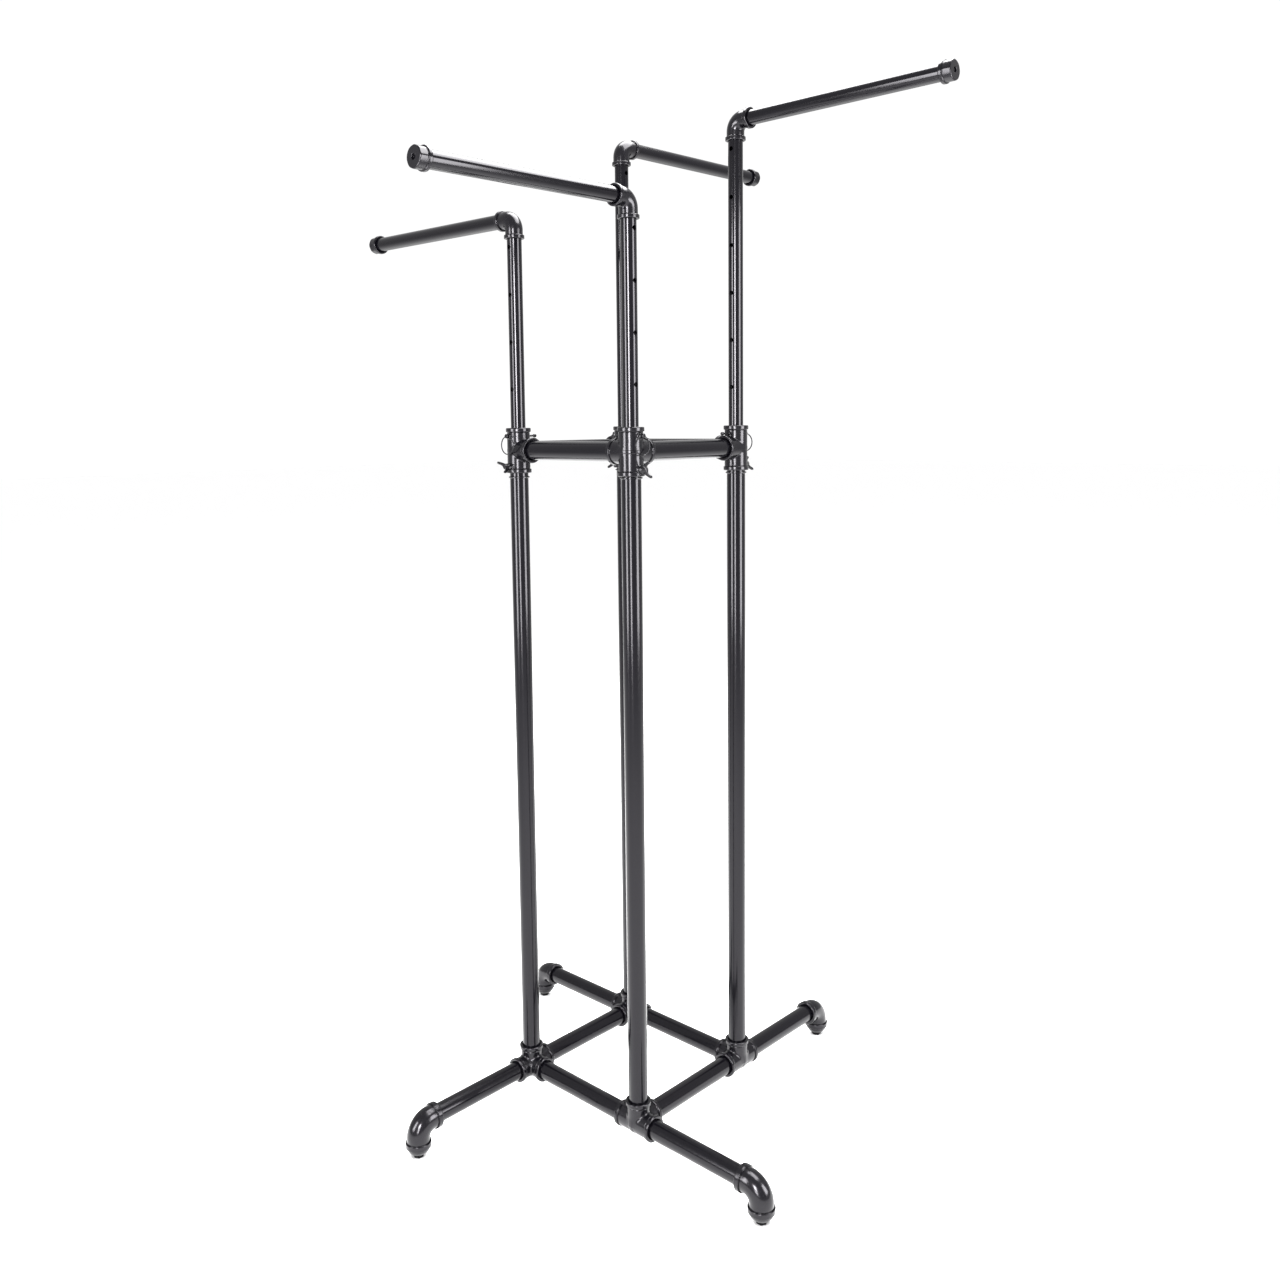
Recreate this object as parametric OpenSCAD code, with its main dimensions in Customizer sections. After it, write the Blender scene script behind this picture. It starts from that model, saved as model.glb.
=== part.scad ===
/* [Frame] */
// distance between neighbouring posts, axis to axis, mm
post_spacing = 268; // [220:1:340]
// base pipe axis above the floor, mm
base_height = 57; // [55:0.5:64]
// cross rail axis above the base pipe axis, mm
cross_height = 1125; // [950:5:1200]
// outside diameter of the lower pipes, mm
pipe_od = 32; // [31.5:0.1:32]
// wall of the lower pipes, mm
pipe_wall = 2; // [1.6:0.1:2.1]
// post axis to foot axis along a leg, mm
leg_reach = 258; // [200:5:320]

/* [Posts and arms] */
// outside diameter of posts and arms, mm
post_od = 25.4; // [25.2:0.1:25.4]
// wall of posts and arms, mm
post_wall = 2; // [1.5:0.1:2.5]
// height step between pin holes, mm
hole_pitch = 80; // [80:1:82]
// diameter of the pin holes in a post, mm
hole_d = 8; // [6.5:0.5:9]
// pin hole now used on posts 1 and 4, counted from the top hole
low_index = 4; // [2:1:5]
// pin hole now used on posts 2 and 3, counted from the top hole
high_index = 6; // [2:1:6]
// post axis to the outer face of an arm cap, mm
arm_reach = 406; // [300:2:450]

/* [Fittings] */
// outside diameter of a large fitting, mm
fit_od = 39.6; // [38.5:0.1:40]
// outside diameter of a large fitting's bead, mm
bead_od = 43.4; // [42:0.1:44]
// width of a large fitting's bead, mm
bead_w = 7.5; // [6:0.5:9]
// centre to mouth of a lower tee, mm
base_len = 38; // [37:0.5:39]
// centre to upper and lower mouth of an upper tee, mm
tee_len = 39; // [38:0.5:39]
// centre to side mouth of an upper tee, mm
side_len = 36.5; // [36:0.5:39]
// centre to mouth of a foot elbow, mm
elbow_len = 39; // [38:0.5:42]
// bend radius of a foot elbow, mm
elbow_bend = 25; // [23:1:26]

/* [Locking] */
// lock pin height above the cross rail axis, mm
pin_z = 25; // [24.8:0.1:25.5]
// lock pin diameter, mm
pin_d = 6; // [5:0.5:6]
// pull ring outside diameter, mm
ring_od = 33; // [28:1:33]
// wing bolt depth below the cross rail axis, mm
wing_z = 28; // [26:0.5:28]

/* [Hidden] */
$fn = 64;
s2 = post_spacing / 2;
zb = base_height;
zx = base_height + cross_height;
pr = pipe_od / 2;
qr = post_od / 2;
ring_r = 0.9;
ring_R = ring_od / 2 - ring_r;
tab_x = 25.5;
wing_turn = [15, -27, 20, 47];
collar_drop = [1.2, 2.4, 2.4, 5.8];
top_hole = 47.5;
holes = 7;
function za(k) = zx + pin_z + top_hole + hole_pitch * (k == 1 || k == 4 ? low_index : high_index);
coat = [0.25, 0.25, 0.27];
cast = [0.22, 0.22, 0.24];
dark = [0.07, 0.07, 0.08];

// puts children at corner k: leg along +X, arm along -Y in corner 1
module at(k) rotate([0, 0, 90 * (k - 1)]) translate([s2, -s2, 0]) children();

// turns +Z children to lie along each direction
module to_px() rotate([0, 90, 0]) children();
module to_nx() rotate([0, -90, 0]) children();
module to_py() rotate([-90, 0, 0]) children();
module to_ny() rotate([90, 0, 0]) children();

module tube(r, wall, a, b) translate([0, 0, a]) difference() {
  cylinder(r = r, h = b - a);
  translate([0, 0, -1]) cylinder(r = r - wall, h = b - a + 2);
}

// rounded reinforcing bead at a fitting's mouth, mouth face at height len
module bead(ro, ri, len, w, e = 1.1) rotate_extrude() polygon([
  [ri, len - w - (ro - ri) * 0.7], [ro - e * 0.35, len - w], [ro, len - w + e],
  [ro, len - e], [ro - e * 0.35, len - e * 0.3], [ro - e, len], [ri - 2, len], [ri - 2, len - w - 2]]);

module branch(len, ro, rb, w) {
  cylinder(r = ro, h = len - 0.01);
  bead(rb, ro, len, w);
}
// stepped bore of one socket: pipe socket from step to len, waterway below, flared mouth
module socket(len, step, r, way) {
  translate([0, 0, -0.01]) cylinder(r = way, h = len);
  translate([0, 0, step]) cylinder(r = r, h = len);
  translate([0, 0, len - 0.8]) cylinder(r1 = r, r2 = r + 0.7, h = 0.82);
}

module base_tee() color(cast) translate([0, 0, zb]) difference() {
  union() {
    translate([-base_len + 0.01, 0, 0]) to_px() cylinder(r = fit_od / 2, h = 2 * base_len - 0.02);
    to_px() bead(bead_od / 2, fit_od / 2, base_len, bead_w);
    to_nx() bead(bead_od / 2, fit_od / 2, base_len, bead_w);
    to_py() branch(base_len, fit_od / 2 - 0.06, bead_od / 2, bead_w);
    branch(base_len, fit_od / 2 - 0.12, bead_od / 2, bead_w);
  }
  translate([-base_len, 0, 0]) to_px() cylinder(r = 13.6, h = 2 * base_len);
  to_px() socket(base_len, 18, pr + 0.1, 13.6);
  to_nx() socket(base_len, 18, pr + 0.1, 13.6);
  to_py() socket(base_len, 18, pr + 0.1, 13.4);
  socket(base_len, 18, pr + 0.1, 13.2);
}

module cross_tee() color(cast) translate([0, 0, zx]) difference() {
  union() {
    branch(tee_len, fit_od / 2, bead_od / 2, bead_w);
    mirror([0, 0, 1]) branch(tee_len, fit_od / 2, bead_od / 2, bead_w);
    to_nx() branch(side_len, fit_od / 2, bead_od / 2, bead_w);
    to_py() branch(side_len, fit_od / 2, bead_od / 2, bead_w);
    translate([0, 0, -wing_z]) to_px() cylinder(r = 6.5, h = 21.6);
    translate([0, 0, pin_z]) to_px() cylinder(r = 5.5, h = 20.2);
  }
  socket(tee_len, 8, pr + 0.1, 13.6);
  mirror([0, 0, 1]) socket(tee_len, 8, pr + 0.1, 13.6);
  to_nx() socket(side_len, 18, pr + 0.1, 13.6);
  to_py() socket(side_len, 18, pr + 0.1, 13.6);
  translate([-30, 0, pin_z]) to_px() cylinder(d = pin_d + 0.1, h = 60);
  translate([0, 0, -wing_z]) to_px() cylinder(d = 6.1, h = 30);
}

module rail(z) color(coat) translate([0, 0, z]) to_py() tube(pr, pipe_wall, 18, post_spacing - 18);

module leg() color(coat) translate([0, 0, zb]) to_px() tube(pr, pipe_wall, 18, leg_reach - elbow_bend);

// ninety degree elbow: one mouth along -X, the other along -Z
module ell(len, bend, ro, rb, w, r, depth, way) difference() {
  union() {
    translate([-bend, 0, -bend]) rotate([90, 0, 0]) rotate_extrude(angle = 90) translate([bend, 0]) circle(r = ro);
    translate([0, 0, -bend + 0.01]) mirror([0, 0, 1]) cylinder(r = ro, h = len - bend);
    translate([-bend + 0.01, 0, 0]) to_nx() cylinder(r = ro, h = len - bend);
    mirror([0, 0, 1]) bead(rb, ro, len, w);
    to_nx() bead(rb, ro, len, w);
  }
  translate([-bend, 0, -bend]) rotate([90, 0, 0]) rotate_extrude(angle = 90) translate([bend, 0]) circle(r = way);
  translate([0, 0, -bend + 0.01]) mirror([0, 0, 1]) cylinder(r = way, h = len);
  translate([-bend + 0.01, 0, 0]) to_nx() cylinder(r = way, h = len);
  translate([0, 0, -len + depth]) mirror([0, 0, 1]) cylinder(r = r, h = len);
  translate([-len + depth, 0, 0]) to_nx() cylinder(r = r, h = len);
  translate([0, 0, -len - 0.02]) cylinder(r1 = r + 0.7, r2 = r, h = 0.8);
  translate([-len - 0.02, 0, 0]) to_px() cylinder(r1 = r + 0.7, r2 = r, h = 0.8);
}

module foot_elbow() color(cast) translate([leg_reach, 0, zb])
  ell(elbow_len, elbow_bend, fit_od / 2, bead_od / 2 + 0.3, 9.5, pr + 0.1, elbow_len - elbow_bend, 13.6);

// domed plug closing the lower mouth of a foot elbow, bored for the foot's stud
module foot_plug() color(cast) translate([leg_reach, 0, 0]) difference() {
  rotate_extrude() polygon([[0, 5.2], [9.4, 5.2], [10.6, 5.6], [14.6, 8.4], [17.8, 12], [19.6, 15.2], [20.2, zb - elbow_len - 0.4], [20.2, zb - elbow_len],
    [pr, zb - elbow_len], [pr, zb - elbow_bend - 1], [0, zb - elbow_bend - 1]]);
  translate([0, 0, -1]) cylinder(d = 10.1, h = 50);
}

// hexagonal levelling screw: its head stands on the floor
module levelling_foot() color(dark) translate([leg_reach, 0, 0]) {
  intersection() {
    cylinder(r = 9.35, h = 4.8, $fn = 6);
    rotate_extrude() polygon([[0, 0], [8.2, 0], [9.5, 0.8], [9.5, 4.1], [8.4, 4.8], [0, 4.8]]);
  }
  translate([0, 0, 4.7]) cylinder(d = 10, h = 24);
}

module upright() color(coat) difference() {
  tube(pr, pipe_wall, zb + 18, zx - 8);
  translate([0, 0, zx - wing_z]) to_px() cylinder(d = 8, h = 30);
}

// thin flanged ring on an upright, a little below its upper tee
module upright_collar(k) color(cast) translate([0, 0, zx - tee_len - collar_drop[k - 1] - 2.8]) difference() {
  rotate_extrude() polygon([[pr - 1, 0], [17.2, 0], [18.2, 0.7], [18.2, 2.1], [17.4, 2.8], [pr - 1, 2.8]]);
  translate([0, 0, -1]) cylinder(r = pr + 0.05, h = 8);
}

module guide_bush() color(cast) translate([0, 0, zx]) difference() {
  translate([0, 0, 8]) cylinder(r = pr, h = tee_len - 10);
  cylinder(r = qr + 0.05, h = 60);
  translate([-30, 0, pin_z]) to_px() cylinder(d = pin_d + 0.1, h = 60);
}

module post(k) color(coat) difference() {
  tube(qr, post_wall, za(k) - top_hole - hole_pitch * (holes - 1) - 60, za(k) - 17);
  for (i = [0 : holes - 1]) translate([-30, 0, za(k) - top_hole - hole_pitch * i]) to_px() cylinder(d = hole_d, h = 60);
}

module arm_elbow(k) color(cast) translate([0, 0, za(k)]) rotate([0, 0, 90])
  ell(33, 18, 15.1, 17.5, 6.5, qr + 0.1, 16, 10.7);

module arm_tube(k) color(coat) translate([0, 0, za(k)]) to_ny() tube(qr, post_wall, 17, arm_reach - 4);

module arm_cap(k) color(cast) translate([0, 0, za(k)]) to_ny() difference() {
  rotate_extrude() polygon([[0, arm_reach - 20], [16.2, arm_reach - 20], [17.2, arm_reach - 19], [17.2, arm_reach - 14.6],
    [16.5, arm_reach - 13.6], [15.8, arm_reach - 13], [15.8, arm_reach - 2.8], [15.3, arm_reach - 1.1], [13.8, arm_reach], [0, arm_reach]]);
  translate([0, 0, arm_reach - 26]) cylinder(r = qr + 0.1, h = 22);
  translate([0, 0, arm_reach - 3.4]) cylinder(r = 4.6, h = 8, $fn = 6);
}

module lock_pin() color(dark) translate([0, 0, zx + pin_z]) difference() {
  union() {
    translate([-21, 0, 0]) to_px() cylinder(d = pin_d, h = 42.5);
    translate([-36, 0, 0]) to_px() cylinder(d = 3.4, h = 16);
    translate([-38, 0, 0]) to_px() cylinder(d = pin_d, h = 4);
    translate([-38, 0, 0]) sphere(d = pin_d);
    translate([20.6, 0, 0]) to_px() cylinder(r = 4.6, h = 1.6);
    translate([21, 0, 0]) to_px() cylinder(r = 3.8, h = 7.4);
    translate([28.4, 0, 0]) to_px() cylinder(r1 = 3.8, r2 = 3, h = 0.8);
  }
  translate([tab_x, -10, 0]) to_py() cylinder(r = ring_r + 0.6, h = 20);
}

module pin_ring() color(dark) translate([tab_x, 0, zx + pin_z - ring_R])
  to_px() rotate_extrude() translate([ring_R, 0]) circle(r = ring_r);

module wing_bolt(k) color(dark) translate([0, 0, zx - wing_z]) {
  translate([13, 0, 0]) to_px() cylinder(d = 6, h = 13);
  translate([22.6, 0, 0]) to_px() cylinder(r = 7.2, h = 2);
  translate([24.5, 0, 0]) to_px() cylinder(r1 = 7, r2 = 5.6, h = 9.5);
  rotate([wing_turn[k - 1], 0, 0]) for (s = [-1, 1]) translate([24.5, 0, 0]) rotate([90, 0, 0]) translate([0, 0, -1.6]) linear_extrude(height = 3.2)
    polygon([[0, 0], [0, s * 4.5], [3, s * 7], [8.5, s * 10.6], [13.4, s * 13.4], [16.4, s * 13.6], [17.6, s * 11.9], [16.6, s * 9.6], [12, s * 6.8], [9.8, s * 4.4], [9.2, 0]]);
}

at(1) base_tee();  // base_tee_1
at(2) base_tee();  // base_tee_2
at(3) base_tee();  // base_tee_3
at(4) base_tee();  // base_tee_4
at(1) rail(zb);  // base_rail_1
at(2) rail(zb);  // base_rail_2
at(3) rail(zb);  // base_rail_3
at(4) rail(zb);  // base_rail_4
at(1) foot_elbow();  // foot_elbow_1
at(2) foot_elbow();  // foot_elbow_2
at(3) foot_elbow();  // foot_elbow_3
at(4) foot_elbow();  // foot_elbow_4
at(1) levelling_foot();  // levelling_foot_1
at(2) levelling_foot();  // levelling_foot_2
at(3) levelling_foot();  // levelling_foot_3
at(4) levelling_foot();  // levelling_foot_4
at(1) upright();  // upright_1
at(2) upright();  // upright_2
at(3) upright();  // upright_3
at(4) upright();  // upright_4
at(1) cross_tee();  // cross_tee_1
at(2) cross_tee();  // cross_tee_2
at(3) cross_tee();  // cross_tee_3
at(4) cross_tee();  // cross_tee_4
at(1) rail(zx);  // cross_rail_1
at(2) rail(zx);  // cross_rail_2
at(3) rail(zx);  // cross_rail_3
at(4) rail(zx);  // cross_rail_4
at(1) post(1);  // post_1
at(2) post(2);  // post_2
at(3) post(3);  // post_3
at(4) post(4);  // post_4
at(1) arm_elbow(1);  // arm_elbow_1
at(2) arm_elbow(2);  // arm_elbow_2
at(3) arm_elbow(3);  // arm_elbow_3
at(4) arm_elbow(4);  // arm_elbow_4
at(1) arm_tube(1);  // arm_tube_1
at(2) arm_tube(2);  // arm_tube_2
at(3) arm_tube(3);  // arm_tube_3
at(4) arm_tube(4);  // arm_tube_4
at(1) arm_cap(1);  // arm_cap_1
at(2) arm_cap(2);  // arm_cap_2
at(3) arm_cap(3);  // arm_cap_3
at(4) arm_cap(4);  // arm_cap_4
at(1) lock_pin();  // lock_pin_1
at(2) lock_pin();  // lock_pin_2
at(3) lock_pin();  // lock_pin_3
at(4) lock_pin();  // lock_pin_4
at(1) pin_ring();  // pin_ring_1
at(2) pin_ring();  // pin_ring_2
at(3) pin_ring();  // pin_ring_3
at(4) pin_ring();  // pin_ring_4
at(1) wing_bolt(1);  // wing_bolt_1
at(2) wing_bolt(2);  // wing_bolt_2
at(3) wing_bolt(3);  // wing_bolt_3
at(4) wing_bolt(4);  // wing_bolt_4
for (k = [1 : 4]) at(k) leg();  // leg_pipes
for (k = [1 : 4]) at(k) foot_plug();  // foot_plugs
for (k = [1 : 4]) at(k) upright_collar(k);  // upright_collars
for (k = [1 : 4]) at(k) guide_bush();  // guide_bushes
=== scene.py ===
import math

import bmesh
import bpy
import numpy as np
from mathutils import Matrix, Vector


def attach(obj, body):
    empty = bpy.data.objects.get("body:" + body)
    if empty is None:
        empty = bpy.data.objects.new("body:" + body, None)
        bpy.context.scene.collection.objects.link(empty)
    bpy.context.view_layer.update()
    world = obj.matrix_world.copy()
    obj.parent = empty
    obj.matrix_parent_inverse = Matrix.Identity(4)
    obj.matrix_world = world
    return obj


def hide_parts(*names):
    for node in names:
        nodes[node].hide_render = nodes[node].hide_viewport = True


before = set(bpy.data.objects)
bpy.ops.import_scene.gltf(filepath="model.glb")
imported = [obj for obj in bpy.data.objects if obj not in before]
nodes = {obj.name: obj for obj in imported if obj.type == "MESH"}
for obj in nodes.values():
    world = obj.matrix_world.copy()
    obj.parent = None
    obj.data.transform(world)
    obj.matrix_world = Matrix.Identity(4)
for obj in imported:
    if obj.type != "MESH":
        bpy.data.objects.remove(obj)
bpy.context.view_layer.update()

# ---------------------------------------------------------------- dimensions, metres
S2 = 0.134            # half the post spacing
ZB = 0.057            # base pipe axis
ZX = 0.057 + 1.125    # cross rail axis
LEG = 0.258
ARM = 0.406
PIN_Z = 0.025
WING_Z = 28.0         # millimetres below the cross rail axis
WING_TURN = {1: 15, 2: -27, 3: 20, 4: 47}
INDEX = {1: 4, 2: 6, 3: 6, 4: 4}


def za(k):
    return ZX + PIN_Z + 0.0475 + 0.08 * INDEX[k]


def corner(k):
    """Corner 1's local frame, turned to corner k."""
    return Matrix.Rotation(math.radians(90 * (k - 1)), 4, "Z") @ Matrix.Translation((S2, -S2, 0))


# ---------------------------------------------------------------- materials
def new_mat(name):
    m = bpy.data.materials.new(name)
    m.use_nodes = True
    m.node_tree.nodes.clear()
    return m, m.node_tree.nodes, m.node_tree.links


def coat(name, base, rough, spec=0.5, peel=0.05, peel_scale=700, cast=0.0, cast_scale=260, vary=0.12, coatw=0.0, metal=0.0, painted_glint=0.0):
    """Semi-gloss powder coat: orange peel, slow colour and gloss variation, and for castings a coarser skin with small
    bright specks of painted glint in the base colour.
    """
    m, n, l = new_mat(name)
    out = n.new("ShaderNodeOutputMaterial")
    b = n.new("ShaderNodeBsdfPrincipled")
    l.new(b.outputs[0], out.inputs[0])
    b.inputs["Specular IOR Level"].default_value = spec
    b.inputs["Specular Tint"].default_value = (0.97, 0.945, 1.0, 1)
    b.inputs["Metallic"].default_value = metal
    b.inputs["Coat Weight"].default_value = coatw
    b.inputs["Coat Roughness"].default_value = 0.12
    tc = n.new("ShaderNodeTexCoord")
    slow = n.new("ShaderNodeTexNoise")
    slow.inputs["Scale"].default_value = 9
    slow.inputs["Detail"].default_value = 5
    slow.inputs["Roughness"].default_value = 0.6
    l.new(tc.outputs["Object"], slow.inputs["Vector"])
    fine = n.new("ShaderNodeTexNoise")
    fine.inputs["Scale"].default_value = 95
    fine.inputs["Detail"].default_value = 6
    l.new(tc.outputs["Object"], fine.inputs["Vector"])
    ramp = n.new("ShaderNodeValToRGB")
    r, g, bl = base
    e = ramp.color_ramp.elements
    e[0].position, e[1].position = 0.3, 0.7
    e[0].color = (r * (1 - vary), g * (1 - vary), bl * (1 - vary * 0.8), 1)
    e[1].color = (r * (1 + vary), g * (1 + vary * 0.9), bl * (1 + vary), 1)
    add = n.new("ShaderNodeMath")
    add.operation = "MULTIPLY_ADD"
    add.inputs[1].default_value = 0.45
    l.new(fine.outputs["Fac"], add.inputs[0])
    half = n.new("ShaderNodeMath")
    half.operation = "MULTIPLY"
    half.inputs[1].default_value = 0.55
    l.new(slow.outputs["Fac"], half.inputs[0])
    l.new(half.outputs[0], add.inputs[2])
    l.new(add.outputs[0], ramp.inputs[0])
    colour = ramp.outputs[0]
    # painted glint: small bright specks added to the base colour stand in for light sparkling on the cast coat
    if painted_glint:
        glint_cells = n.new("ShaderNodeTexVoronoi")
        glint_cells.inputs["Scale"].default_value = 420
        l.new(tc.outputs["Object"], glint_cells.inputs["Vector"])
        sr = n.new("ShaderNodeMapRange")
        sr.inputs["From Min"].default_value = 0.0
        sr.inputs["From Max"].default_value = 0.16
        sr.inputs["To Min"].default_value = 1.0
        sr.inputs["To Max"].default_value = 0.0
        l.new(glint_cells.outputs["Distance"], sr.inputs["Value"])
        mixc = n.new("ShaderNodeMix")
        mixc.data_type = "RGBA"
        mixc.blend_type = "ADD"
        k = n.new("ShaderNodeMath")
        k.operation = "MULTIPLY"
        k.inputs[1].default_value = painted_glint
        l.new(sr.outputs[0], k.inputs[0])
        l.new(k.outputs[0], mixc.inputs[0])
        l.new(colour, mixc.inputs[6])
        mixc.inputs[7].default_value = (0.5, 0.5, 0.52, 1)
        colour = mixc.outputs[2]
    l.new(colour, b.inputs["Base Color"])
    rr = n.new("ShaderNodeMapRange")
    rr.inputs["From Min"].default_value = 0.3
    rr.inputs["From Max"].default_value = 0.7
    rr.inputs["To Min"].default_value = rough * 0.86
    rr.inputs["To Max"].default_value = rough * 1.16
    l.new(add.outputs[0], rr.inputs["Value"])
    l.new(rr.outputs[0], b.inputs["Roughness"])
    peeln = n.new("ShaderNodeTexNoise")
    peeln.inputs["Scale"].default_value = peel_scale
    peeln.inputs["Detail"].default_value = 2
    l.new(tc.outputs["Object"], peeln.inputs["Vector"])
    bump = n.new("ShaderNodeBump")
    bump.inputs["Strength"].default_value = peel
    bump.inputs["Distance"].default_value = 0.0001
    l.new(peeln.outputs["Fac"], bump.inputs["Height"])
    last = bump
    if cast:
        cn = n.new("ShaderNodeTexNoise")
        cn.inputs["Scale"].default_value = cast_scale
        cn.inputs["Detail"].default_value = 4
        cn.inputs["Roughness"].default_value = 0.6
        l.new(tc.outputs["Object"], cn.inputs["Vector"])
        b2 = n.new("ShaderNodeBump")
        b2.inputs["Strength"].default_value = cast
        b2.inputs["Distance"].default_value = 0.0008
        l.new(cn.outputs["Fac"], b2.inputs["Height"])
        l.new(bump.outputs[0], b2.inputs["Normal"])
        last = b2
    l.new(last.outputs[0], b.inputs["Normal"])
    return m


PIPE = coat("pipe_powder_coat", (0.0012, 0.0011, 0.0017), 0.15, spec=0.2, peel=0.007)
POST = coat("post_powder_coat", (0.0012, 0.0011, 0.0017), 0.13, spec=0.2, peel=0.007)
# the castings' bright specks are painted glints in the base colour
CAST = coat("cast_powder_coat", (0.0014, 0.0013, 0.0019), 0.19, spec=0.24, peel=0.012, cast=0.075, vary=0.2, painted_glint=0.06)
CAPM = coat("cap_powder_coat", (0.0014, 0.0013, 0.0019), 0.18, spec=0.21, peel=0.012, cast=0.04, vary=0.2)
HARD = coat("black_oxide", (0.0012, 0.0012, 0.0015), 0.26, spec=0.22, peel=0.08, cast=0.08, vary=0.25)
WIRE = coat("dark_steel_wire", (0.0025, 0.0025, 0.003), 0.26, spec=0.2, peel=0.02, vary=0.15)
PAD = coat("black_oxide_foot", (0.0012, 0.0012, 0.0014), 0.45, spec=0.1, peel=0.05, vary=0.3)
BUSH = coat("bush_coat", (0.02, 0.02, 0.022), 0.45, peel=0.1, vary=0.2)


def paint(o, m):
    if not o.data.materials:
        o.data.materials.append(m)
    for i in range(len(o.data.materials)):
        o.data.materials[i] = m


for name, o in nodes.items():
    if name.startswith(("levelling_foot",)):
        paint(o, PAD)
    elif name.startswith(("lock_pin", "wing_bolt")):
        paint(o, HARD)
    elif name.startswith("pin_ring"):
        paint(o, WIRE)
    elif name.startswith(("upright_collar", "base_tee", "cross_tee", "foot_elbow", "foot_plugs", "arm_elbow")):
        paint(o, CAST)
    elif name.startswith("arm_cap"):
        paint(o, CAPM)
    elif name.startswith("guide_bush"):
        paint(o, BUSH)
    elif name.startswith(("post", "arm_tube")):
        paint(o, POST)
    else:
        paint(o, PIPE)

# ---------------------------------------------------------------- smooth castings from distance fields, millimetres
def smin(a, b, k):
    h = np.clip(0.5 + 0.5 * (b - a) / k, 0.0, 1.0)
    return b + (a - b) * h - k * h * (1.0 - h)


def smax(a, b, k):
    return -smin(-a, -b, k)


def rod(p, axis, a, b, r, e=0.0):
    """Round bar along a coordinate axis from a to b, with rounded ends."""
    t = p[..., axis]
    o = [i for i in range(3) if i != axis]
    q = np.hypot(p[..., o[0]], p[..., o[1]]) - (r - e)
    s = np.abs(t - (a + b) / 2) - (abs(b - a) / 2 - e)
    return np.minimum(np.maximum(q, s), 0) + np.hypot(np.maximum(q, 0), np.maximum(s, 0)) - e


def reach(axis, sign, a, b):
    return (axis, a * sign, b * sign)


def run(p, d, a, b, r, e=0.0):
    axis, sign = d
    lo, hi = sorted((a * sign, b * sign))
    return rod(p, axis, lo, hi, r, e)


def tee_field(dirs, lengths, steps, ro=19.8, rb=21.7, w=7.5, bore=16.1, way=13.6, extra=None, cut=None, fillet=1.3):
    """dirs: (axis, sign) of every branch. lengths: centre to each mouth. steps: where each socket's shoulder is."""
    def f(p):
        d = None
        for q, length in zip(dirs, lengths):
            c = run(p, q, -2.0, length - 0.4, ro)
            d = c if d is None else smin(d, c, fillet)
        for q, length in zip(dirs, lengths):
            d = smin(d, run(p, q, length - w, length, rb, 1.7), 0.5)
            o = [i for i in range(3) if i != q[0]]
            groove = np.hypot(np.hypot(p[..., o[0]], p[..., o[1]]) - (ro + 0.25), p[..., q[0]] * q[1] - (length - w - 0.2)) - 0.75
            d = smax(d, -groove, 0.3)
        if extra:
            d = extra(p, d)
        for q, s, length in zip(dirs, steps, lengths):
            d = smax(d, -run(p, q, s, length + 8, bore, 0.2), 0.5)
            d = smax(d, -run(p, q, length - 0.7, length + 8, bore + 0.6, 0.3), 0.9)
        for q, length in zip(dirs, lengths):
            d = smax(d, -run(p, q, -way, length, way), 0.5)
        if cut:
            d = cut(p, d)
        return d
    return f


def ell_field(length, bend, ro, rb, w, bore, depth, way):
    """Elbow with one mouth along -X and the other along -Z."""
    def arc(p, r):
        x, z = p[..., 0] + bend, p[..., 2] + bend
        a = np.clip(np.arctan2(z, x), 0.0, math.pi / 2)
        return np.sqrt((x - bend * np.cos(a)) ** 2 + (z - bend * np.sin(a)) ** 2 + p[..., 1] ** 2) - r

    def f(p):
        q1, q2 = (0, -1), (2, -1)
        d = arc(p, ro)
        for q in (q1, q2):
            d = np.minimum(d, run(p, q, bend, length - 0.4, ro))
        # each mouth gets a fuller band, with a shallow groove behind it
        for q in (q1, q2):
            d = smin(d, run(p, q, length - w, length, rb, 1.3), 1.0)
            o = [i for i in range(3) if i != q[0]]
            groove = np.hypot(np.hypot(p[..., o[0]], p[..., o[1]]) - (ro + 0.3), p[..., q[0]] * q[1] - (length - w - 0.2)) - 0.6
            d = smax(d, -groove, 0.4)
        for q in (q1, q2):
            d = smax(d, -run(p, q, length - depth, length + 8, bore, 0.2), 0.5)
            d = smax(d, -run(p, q, length - 0.7, length + 8, bore + 0.8, 0.4), 0.7)
        inner = arc(p, way)
        for q in (q1, q2):
            inner = np.minimum(inner, run(p, q, bend, length, way))
        return smax(d, -inner, 0.5)
    return f


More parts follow.
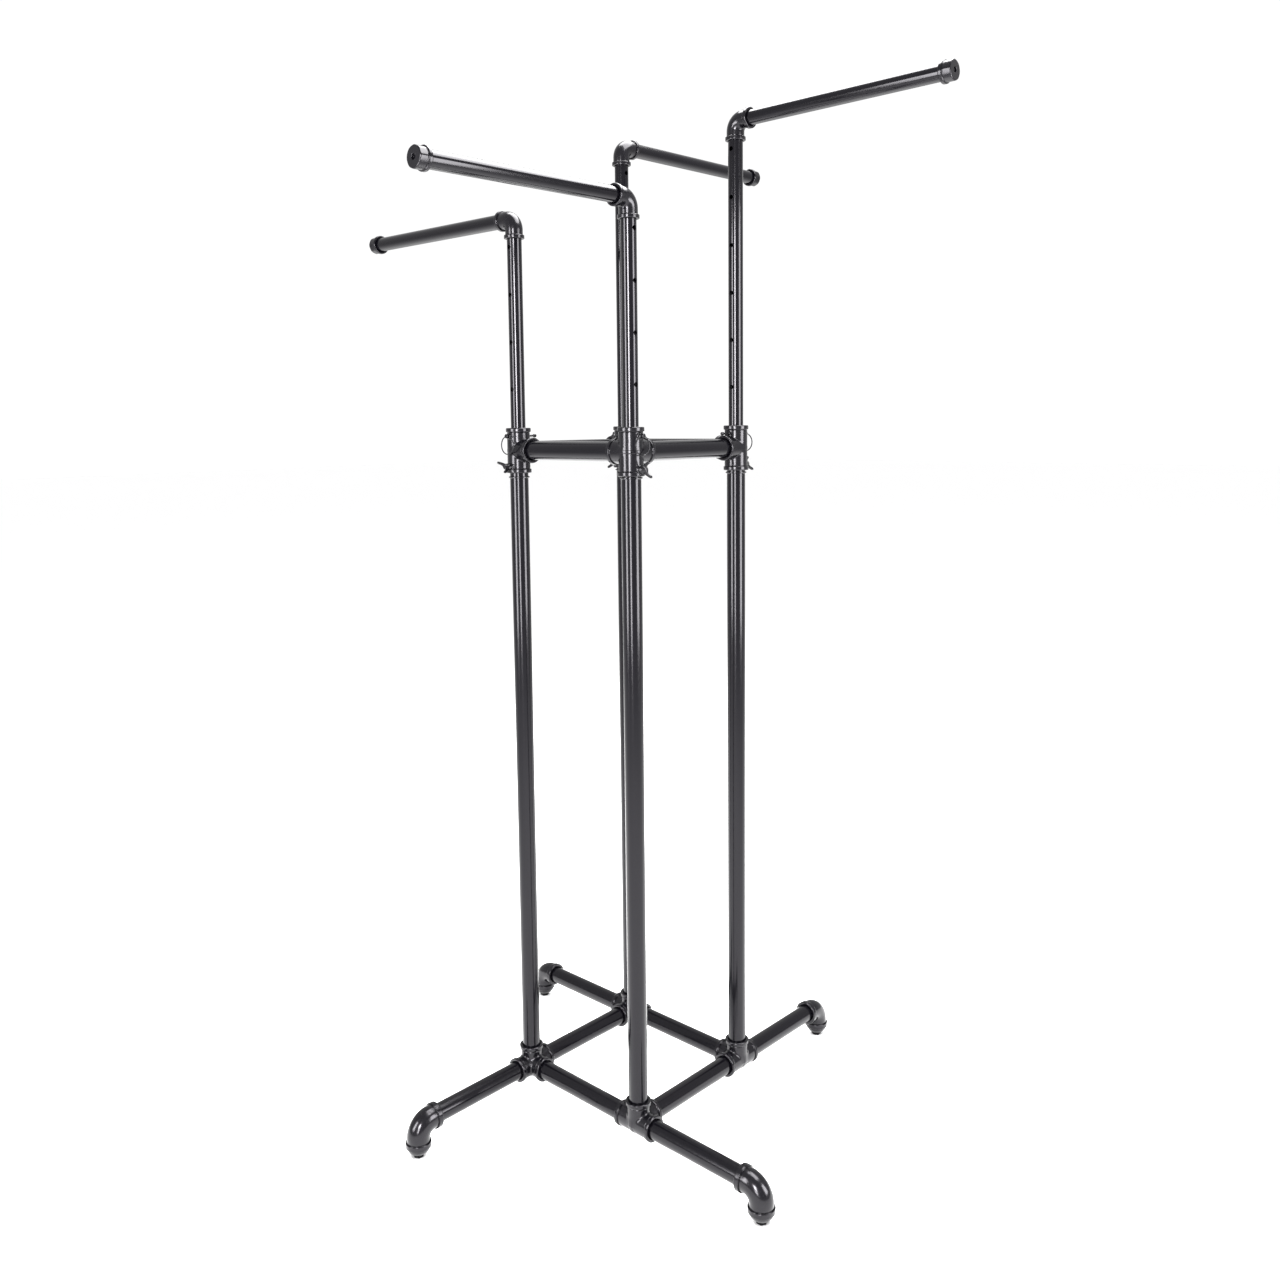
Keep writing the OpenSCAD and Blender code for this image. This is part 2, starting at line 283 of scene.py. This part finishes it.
def nets(f, lo, hi, h):
    """Surface nets: a closed quad mesh of f = 0 inside the box, its points pulled onto the surface."""
    lo, hi = np.array(lo, float), np.array(hi, float)
    n = np.ceil((hi - lo) / h).astype(int) + 1
    ax = [lo[i] + h * np.arange(n[i]) for i in range(3)]
    g = np.stack(np.meshgrid(*ax, indexing="ij"), -1)
    v = f(g)
    s = v < 0
    total = np.zeros(tuple(n - 1) + (3,))
    count = np.zeros(tuple(n - 1))
    cells = tuple(slice(0, m - 1) for m in n)
    for a in range(3):
        sl0 = [slice(None)] * 3
        sl1 = [slice(None)] * 3
        sl0[a], sl1[a] = slice(0, -1), slice(1, None)
        v0, v1 = v[tuple(sl0)], v[tuple(sl1)]
        cross = (v0 < 0) != (v1 < 0)
        t = np.where(cross, v0 / np.where(v0 == v1, 1, v0 - v1), 0)
        o = [i for i in range(3) if i != a]
        for i in (0, 1):
            for j in (0, 1):
                sl = [slice(None)] * 3
                sl[o[0]] = slice(i, n[o[0]] - 1 + i)
                sl[o[1]] = slice(j, n[o[1]] - 1 + j)
                c = cross[tuple(sl)]
                tt = t[tuple(sl)]
                off = np.zeros(c.shape + (3,))
                off[..., a] = tt
                off[..., o[0]] = i
                off[..., o[1]] = j
                total += off * c[..., None]
                count += c
    has = count > 0
    index = -np.ones(has.shape, int)
    index[has] = np.arange(has.sum())
    base = np.stack(np.meshgrid(*[np.arange(m - 1) for m in n], indexing="ij"), -1)
    pts = lo + h * (base[has] + total[has] / count[has][:, None])
    quads = []
    for a in range(3):
        o = [(a + 1) % 3, (a + 2) % 3]
        sl0 = [slice(None)] * 3
        sl1 = [slice(None)] * 3
        sl0[a], sl1[a] = slice(0, -1), slice(1, None)
        cross = s[tuple(sl0)] != s[tuple(sl1)]
        inside = s[tuple(sl0)]
        ii = np.argwhere(cross)
        ok = (ii[:, o[0]] > 0) & (ii[:, o[1]] > 0) & (ii[:, o[0]] < n[o[0]] - 1) & (ii[:, o[1]] < n[o[1]] - 1)
        ii = ii[ok]
        flip = ~inside[tuple(ii.T)]
        def at(d0, d1):
            k = ii.copy()
            k[:, o[0]] += d0
            k[:, o[1]] += d1
            return index[tuple(k.T)]
        q = np.stack([at(-1, -1), at(0, -1), at(0, 0), at(-1, 0)], -1)
        q[flip] = q[flip][:, ::-1]
        quads.append(q)
    quads = np.concatenate(quads)
    e = 0.05
    for _ in range(3):
        d = f(pts)
        gr = np.stack([f(pts + e * np.eye(3)[i]) - f(pts - e * np.eye(3)[i]) for i in range(3)], -1) / (2 * e)
        ln = np.maximum((gr ** 2).sum(-1), 0.3)
        step = (d / ln)[:, None] * gr
        pts = pts - np.clip(step, -0.6 * h, 0.6 * h)
    # the field's own gradient gives the exact normal at every point, so flat faces and rims shade cleanly
    gr = np.stack([f(pts + e * np.eye(3)[i]) - f(pts - e * np.eye(3)[i]) for i in range(3)], -1)
    gr /= np.maximum(np.linalg.norm(gr, axis=-1, keepdims=True), 1e-9)
    return pts, quads, gr


def poly2(px, py, pts):
    """Signed distance to a closed polygon in two dimensions."""
    d = np.full(px.shape, 1e9)
    sgn = np.ones(px.shape)
    m = len(pts)
    for i in range(m):
        ax_, ay = pts[i]
        bx, by = pts[i - 1]
        ex, ey = bx - ax_, by - ay
        wx, wy = px - ax_, py - ay
        t = np.clip((wx * ex + wy * ey) / (ex * ex + ey * ey), 0, 1)
        d = np.minimum(d, (wx - ex * t) ** 2 + (wy - ey * t) ** 2)
        c1, c2, c3 = py >= ay, py < by, ex * wy > ey * wx
        flip = (c1 & c2 & c3) | (~c1 & ~c2 & ~c3)
        sgn = np.where(flip, -sgn, sgn)
    return sgn * np.sqrt(d)


def dome(q, t, pts, k):
    """Round body whose half section is the convex polygon pts in (radius, height), corners softened by k."""
    d = None
    for (q0, t0), (q1, t1) in zip(pts[:-1], pts[1:]):
        nx, ny = t1 - t0, -(q1 - q0)
        ln = math.hypot(nx, ny)
        e = ((q - q0) * nx + (t - t0) * ny) / ln
        d = e if d is None else smax(d, e, k)
    return d


def add_mesh(name, pts, faces, norms, k, offset, mat, body, replace, slot, turn=None):
    """A casting in corner k, from points in millimetres about offset in corner 1's frame."""
    m = corner(k) @ Matrix.Translation(offset)
    if turn is not None:
        m = m @ turn
    me = bpy.data.meshes.new(name)
    a = np.array(m)
    w = (pts / 1000.0) @ a[:3, :3].T + a[:3, 3]
    me.from_pydata(w.tolist(), [], [list(map(int, f)) for f in faces])
    me.polygons.foreach_set("use_smooth", [True] * len(me.polygons))
    me.update()
    if norms is not None:
        me.normals_split_custom_set_from_vertices((norms @ a[:3, :3].T).tolist())
    o = bpy.data.objects.new(name, me)
    bpy.context.scene.collection.objects.link(o)
    me.materials.append(mat)
    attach(o, body)
    if replace:
        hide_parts(*replace)
    return o


h_big = 1.15
h_small = 0.8

# lower tees: leg, two rails, upright
base = nets(tee_field([(0, 1), (0, -1), (1, 1), (2, 1)], [38.0] * 4, [18.0] * 4, fillet=3.2), (-42, -24, -24), (42, 42, 42), h_big)


# upper tees: upright and post in line, two rails, bosses for the lock pin and the wing bolt
def bosses(p, d):
    q = p + np.array([0, 0, WING_Z])
    d = smin(d, run(q, (0, 1), 8, 21.6, 6.5, 0.6), 2.0)
    q = p - np.array([0, 0, 25.0])
    d = smin(d, run(q, (0, 1), 8, 20.3, 5.5, 0.5), 1.5)
    return d


def drilled(p, d):
    q = p - np.array([0, 0, 25.0])
    d = smax(d, -run(q, (0, 1), -30, 30, 3.06), 0.3)
    q = p + np.array([0, 0, WING_Z])
    return smax(d, -run(q, (0, 1), 5, 30, 3.06), 0.3)


cross = nets(tee_field([(2, 1), (2, -1), (0, -1), (1, 1)], [39.0, 39.0, 36.5, 36.5], [8.0, 8.0, 18.0, 18.0], extra=bosses, cut=drilled),
             (-42, -24, -42), (24, 42, 42), h_big)
foot_ell = nets(ell_field(39.0, 25.0, 19.8, 22.0, 9.5, 16.1, 14.0, 13.6), (-41, -24, -41), (24, 24, 24), h_big)
arm_ell = nets(ell_field(33.0, 18.0, 15.1, 17.5, 6.5, 12.8, 16.0, 10.7), (-35, -19, -35), (19, 19, 19), h_small)


# arm cap, its axis along +X here, closed face at x = 0: a soft eight-sided nose in front of a rounded ring
def cap_field(p):
    t = p[..., 0]
    a = np.arctan2(p[..., 2], p[..., 1])
    q = np.hypot(p[..., 1], p[..., 2])
    s8 = math.pi / 4
    oct_d = q * np.cos(np.mod(a, s8) - s8 / 2) - 15.2
    nose = smax(smax(run(p, (0, 1), -18, 0, 15.8, 1.4), oct_d, 1.0), (q * 0.7 + t * 0.714) - 10.3, 0.8)
    d = smin(nose, run(p, (0, 1), -20, -14.0, 17.2, 1.3), 0.6)
    waist = np.hypot(q - 16.2, t + 13.3) - 0.8
    d = smax(d, -waist, 0.4)
    d = smax(d, -run(p, (0, 1), -40, -4, 12.8, 0.2), 0.4)
    d = smax(d, -run(p, (0, 1), -40, -19.4, 13.5, 0.4), 0.6)
    s = math.pi / 3
    hexd = q * np.cos(np.mod(a, s) - s / 2) - 4.0
    return smax(d, -np.maximum(hexd, -3.4 - t), 0.45)


cap = nets(cap_field, (-22, -19, -19), (2, 19, 19), h_small)

# domed plug under each foot elbow, bored for the levelling screw
def plug_field(p):
    q = np.hypot(p[..., 0], p[..., 1])
    t = p[..., 2]
    d = dome(q, t, [(0, 5.2), (9.4, 5.2), (14.6, 8.4), (17.8, 12.0), (19.6, 15.2), (20.2, 18.0), (0, 18.0)], 0.7)
    d = smin(d, run(p, (2, 1), 12, 31, 16.0, 0.6), 0.3)
    return smax(d, -run(p, (2, 1), 0, 50, 5.05), 0.4)


plug = nets(plug_field, (-21.5, -21.5, 4), (21.5, 21.5, 32.5), h_small)


# hexagonal levelling screw standing on its chamfered head
def foot_field(p):
    q = np.hypot(p[..., 0], p[..., 1])
    a = np.arctan2(p[..., 1], p[..., 0])
    s6 = math.pi / 3
    hexa = q * np.cos(np.mod(a, s6) - s6 / 2) - 8.1
    head = smax(run(p, (2, 1), 0, 4.8, 9.35, 1.1), hexa, 0.6)
    return smin(head, run(p, (2, 1), 2, 28.7, 5.0, 0.5), 0.4)


pad = nets(foot_field, (-10.5, -10.5, -1), (10.5, 10.5, 30), 0.6)

# wing bolt, axis +X, shank tip at x = 13
WING = [(0, 0), (0, 4.5), (3, 7), (8.5, 10.6), (13.4, 13.4), (16.4, 13.6), (17.6, 11.9), (16.6, 9.6), (12, 6.8), (9.8, 4.4), (9.2, 0)]


def wing_field(turn):
    c, s = math.cos(math.radians(turn)), math.sin(math.radians(turn))

    def f(p):
        y = p[..., 1] * c + p[..., 2] * s
        z = -p[..., 1] * s + p[..., 2] * c
        plane_d = poly2(p[..., 0] - 24.5, np.abs(z), WING) + 0.9
        thick = np.abs(y) - (2.1 - 0.05 * np.abs(z)) + 0.9
        w = np.minimum(np.maximum(plane_d, thick), 0) + np.hypot(np.maximum(plane_d, 0), np.maximum(thick, 0)) - 0.9
        q = np.hypot(p[..., 1], p[..., 2])
        hub = dome(q, p[..., 0], [(0, 22.6), (7.2, 22.6), (7.2, 24.6), (6.6, 26.0), (5.6, 34.0), (0, 34.0)], 1.0)
        d = smin(w, hub, 2.0)
        return np.minimum(d, run(p, (0, 1), 13.0, 26, 3.0, 0.4))
    return f


wing = {k: nets(wing_field(a), (12, -15.5, -15.5), (44, 15.5, 15.5), 0.6) for k, a in WING_TURN.items()}


# lock pin, axis +X: shank, necked tip with a ball, small flange and a cross-drilled head
def pin_field(p):
    d = run(p, (0, 1), -20.9, 24, 3.0, 0.7)
    d = smin(d, run(p, (0, 1), -36, -19, 1.7), 0.8)
    d = smin(d, run(p, (0, 1), -41.0, -34.2, 3.0, 2.4), 0.5)
    d = smin(d, run(p, (0, 1), 20.6, 22.2, 4.6, 0.5), 0.4)
    d = smin(d, run(p, (0, 1), 20.9, 29.2, 3.8, 1.2), 0.6)
    q = p - np.array([25.5, 0, 0])
    return smax(d, -run(q, (1, 1), -8, 8, 1.6), 0.4)


pin = nets(pin_field, (-42, -6, -6), (31, 6, 6), 0.5)


def split_ring(R=15.6, r=0.82, flat=0.43, pitch=0.88, turns=1.94, n=160, m=12):
    """Two-coil flat wire ring hanging from the origin, its plane across X."""
    pts, faces = [], []
    for i in range(n + 1):
        a = 2 * math.pi * turns * i / n + 0.9
        u = i / n
        # the wire steps over from one coil to the other in a short stretch
        st = min(max((u * turns - 0.9) / 0.2, 0), 1)
        x = (st * st * (3 - 2 * st) - 0.5) * pitch
        c = np.array([x, R * math.sin(a), R * math.cos(a) - R])
        e1 = np.array([0, math.sin(a), math.cos(a)])
        e2 = np.array([1.0, 0, 0])
        g = 0.6 if i in (0, n) else 1.0
        for j in range(m):
            b = 2 * math.pi * j / m
            pts.append(c + g * r * math.cos(b) * e1 + g * flat * math.sin(b) * e2)
    for i in range(n):
        for j in range(m):
            k = (j + 1) % m
            faces.append((i * m + j, i * m + k, (i + 1) * m + k, (i + 1) * m + j))
    faces.append(tuple(range(m))[::-1])
    faces.append(tuple(n * m + j for j in range(m)))
    return np.array(pts), faces, None


ring = split_ring()

to_arm = Matrix.Rotation(math.radians(90), 4, "Z")        # elbow mouth from -X to -Y
cap_turn = Matrix.Rotation(math.radians(-90), 4, "Z")     # cap axis from +X to -Y
plugs = []
for k in range(1, 5):
    add_mesh(f"cast_base_tee_{k}", *base, k, (0, 0, ZB), CAST, "frame", [f"base_tee_{k}"], "cast_coat")
    add_mesh(f"cast_cross_tee_{k}", *cross, k, (0, 0, ZX), CAST, "frame", [f"cross_tee_{k}"], "cast_coat")
    add_mesh(f"cast_foot_elbow_{k}", *foot_ell, k, (LEG, 0, ZB), CAST, "frame", [f"foot_elbow_{k}"], "cast_coat")
    plugs.append(add_mesh(f"cast_foot_plug_{k}", *plug, k, (LEG, 0, 0), CAST, "frame", None, "cast_coat"))
    add_mesh(f"moulded_foot_{k}", *pad, k, (LEG, 0, 0), PAD, f"foot_{k}", [f"levelling_foot_{k}"], "foot_black")
    add_mesh(f"cast_arm_elbow_{k}", *arm_ell, k, (0, 0, za(k)), CAST, f"post_arm_{k}", [f"arm_elbow_{k}"], "cast_coat", to_arm)
    add_mesh(f"cast_arm_cap_{k}", *cap, k, (0, -ARM, za(k)), CAPM, f"post_arm_{k}", [f"arm_cap_{k}"], "cap_coat", cap_turn)
    add_mesh(f"turned_lock_pin_{k}", *pin, k, (0, 0, ZX + PIN_Z), HARD, f"pin_{k}", [f"lock_pin_{k}"], "hardware_black")
    add_mesh(f"wire_split_ring_{k}", *ring, k, (0.0255, 0, ZX + PIN_Z), WIRE, f"ring_{k}", [f"pin_ring_{k}"], "ring_wire")
    add_mesh(f"cast_wing_bolt_{k}", *wing[k], k, (0, 0, ZX - WING_Z / 1000), HARD, f"wing_{k}", [f"wing_bolt_{k}"], "hardware_black")
for o in plugs:
    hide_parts("foot_plugs")

# ---------------------------------------------------------------- floor, light, camera
def plane(name, size, z, mat):
    me = bpy.data.meshes.new(name)
    h = size / 2
    me.from_pydata([(-h, -h, z), (h, -h, z), (h, h, z), (-h, h, z)], [], [(0, 1, 2, 3)])
    o = bpy.data.objects.new(name, me)
    bpy.context.scene.collection.objects.link(o)
    me.materials.append(mat)
    return o


fm, fn, fl = new_mat("pale_floor")
fo = fn.new("ShaderNodeOutputMaterial")
fb = fn.new("ShaderNodeBsdfPrincipled")
fb.inputs["Base Color"].default_value = (0.96, 0.96, 0.96, 1)
fb.inputs["Roughness"].default_value = 0.7
fb.inputs["Specular IOR Level"].default_value = 0.2
fl.new(fb.outputs[0], fo.inputs[0])
floor = plane("floor", 60, 0.0, fm)

w = bpy.data.worlds.new("studio")
bpy.context.scene.world = w
w.use_nodes = True
w.node_tree.nodes["Background"].inputs[0].default_value = (1, 1, 1, 1)
w.node_tree.nodes["Background"].inputs[1].default_value = 1.04
bpy.context.scene.view_settings.view_transform = "Standard"


def area(name, pos, aim, sx, sy, power, colour=(1, 1, 1)):
    d = bpy.data.lights.new(name, "AREA")
    d.shape = "RECTANGLE"
    d.size, d.size_y = sx, sy
    d.energy = power
    d.color = colour
    o = bpy.data.objects.new(name, d)
    bpy.context.scene.collection.objects.link(o)
    o.location = pos
    o.rotation_euler = (Vector(aim) - Vector(pos)).to_track_quat("-Z", "Y").to_euler()
    return o


# the object's lights are flagged off the floor, which has a wide soft wash of its own, so the pipes mirror an even pale floor
flagged = bpy.data.collections.new("object_light_receivers")
flagged.objects.link(floor)
flagged.collection_objects[0].light_linking.link_state = "EXCLUDE"
washed = bpy.data.collections.new("floor_wash_receivers")
washed.objects.link(floor)


CAM = Vector((1.408006, -1.489243, 1.171083 + ZB))
YAW, PITCH, ROLL = math.radians(43.573), math.radians(-6.242), math.radians(-0.681)
F_PX, PPX, PPY = 1170.954, 625.127, 550.6
fwd = Vector((-math.sin(YAW) * math.cos(PITCH), math.cos(YAW) * math.cos(PITCH), math.sin(PITCH)))
right = fwd.cross(Vector((0, 0, 1))).normalized()
up = right.cross(fwd)
r2 = math.cos(ROLL) * right + math.sin(ROLL) * up
u2 = -math.sin(ROLL) * right + math.cos(ROLL) * up

cam = bpy.data.cameras.new("camera")
cam.sensor_fit = "HORIZONTAL"
cam.sensor_width = 36
cam.lens = F_PX / 1280 * 36
cam.shift_x = (640 - PPX) / 1280
cam.shift_y = (PPY - 640) / 1280
cam.clip_start, cam.clip_end = 0.05, 100
co = bpy.data.objects.new("camera", cam)
bpy.context.scene.collection.objects.link(co)
mw = Matrix((
    (r2.x, u2.x, -fwd.x, CAM.x),
    (r2.y, u2.y, -fwd.y, CAM.y),
    (r2.z, u2.z, -fwd.z, CAM.z),
    (0, 0, 0, 1)))
co.matrix_world = mw
bpy.context.scene.camera = co


def rel(rx, dz, dist, z):
    """A point seen from the object: rx degrees right of the camera's direction, at that distance and height."""
    a = math.atan2(CAM.y, CAM.x) + math.radians(rx)
    return (dist * math.cos(a), dist * math.sin(a), z)


def strip(name, rx, dist, zc, width, height, power):
    o = area(name, rel(rx, 0, dist, zc), (0, 0, zc), width, height, power)
    o.light_linking.receiver_collection = flagged


strip("strip_left", -57, 2.1, 1.22, 0.62, 1.4, 84)
strip("strip_front_low", -13, 2.6, 0.8, 0.5, 0.8, 50)
strip("strip_front_high", -13, 2.6, 1.6, 0.5, 0.8, 128)
strip("strip_right", 62, 2.1, 1.22, 0.9, 1.4, 104)
top = area("top", (0.3, 0.6, 2.9), (0.3, 0.6, 0), 2.2, 1.4, 205)
top.light_linking.receiver_collection = flagged
for tag, sign in (("a", 1), ("b", -1)):
    wash = area("floor_wash_" + tag, (0.95 * sign, -0.95 * sign, 2.5), (0, 0, 0), 2.3, 2.3, 230)
    wash.light_linking.receiver_collection = washed
